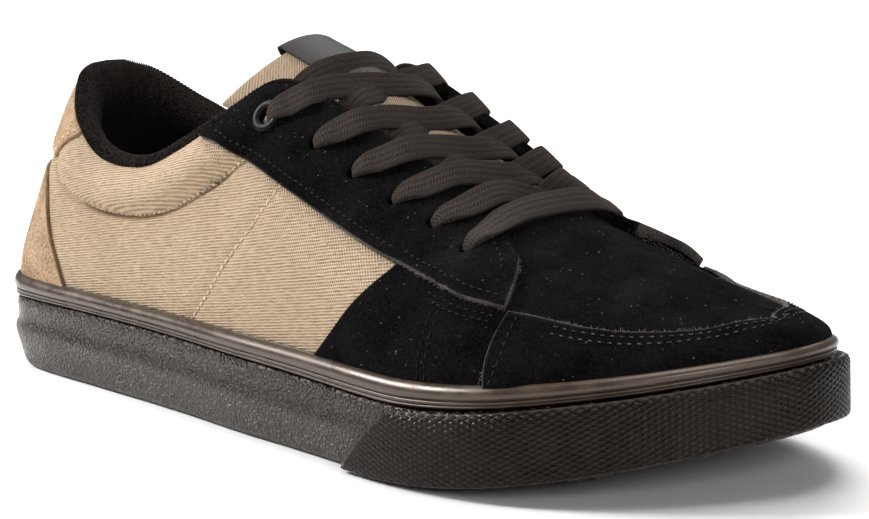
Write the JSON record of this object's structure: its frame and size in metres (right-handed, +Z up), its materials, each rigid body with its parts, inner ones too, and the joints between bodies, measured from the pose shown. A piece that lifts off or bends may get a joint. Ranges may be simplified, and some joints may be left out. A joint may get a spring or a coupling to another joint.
{
  "type": "mountain bike shoe",
  "caption": "Low flat-pedal mountain bike shoe for the right foot: cloth and suede upper, padded collar and tongue, flat lace, cup sole with a knurled toe bumper.",
  "frame": {"origin": "under the middle of the shoe's box, on the floor that the sole stands on", "axes": "+X from heel to toe, +Y to the inner (medial) side, +Z up"},
  "size_m": [0.303, 0.1077, 0.1062],
  "materials": {
    "outsole_rubber": "matte pebbled rubber",
    "band_rubber": "smooth satin rubber",
    "bumper_rubber": "knurled rubber",
    "insole_cloth": "knit foot bed cover",
    "quarter_cloth": "tan twill canvas",
    "tongue_cloth": "tan twill canvas",
    "label_cloth": "plain black woven label",
    "black_suede": "black suede, napped",
    "tan_suede": "tan suede, napped",
    "collar_mesh": "black padded mesh",
    "eyelet_metal": "black enamelled ring",
    "lace_weave": "flat woven cotton"
  },
  "bodies": {
    "root": {"outsole": "outsole_rubber", "foxing_band": "band_rubber", "toe_bumper": "bumper_rubber", "insole": "insole_cloth", "upper": "quarter_cloth", "tongue": "tongue_cloth", "tongue_label": "label_cloth", "eyestay_lateral": "black_suede", "eyestay_medial": "black_suede", "side_panel_lateral": "black_suede", "side_panel_medial": "black_suede", "toe_guard": "black_suede", "heel_counter": "tan_suede", "heel_tab": "tan_suede", "collar_pad": "collar_mesh", "eyelet_lateral": "eyelet_metal", "eyelet_medial": "eyelet_metal", "lace_bar": "lace_weave", "lace_crossing_1": "lace_weave", "lace_crossing_2": "lace_weave", "lace_crossing_3": "lace_weave", "lace_crossing_4": "lace_weave", "lace_crossing_5": "lace_weave"}
  },
  "joints": []
}
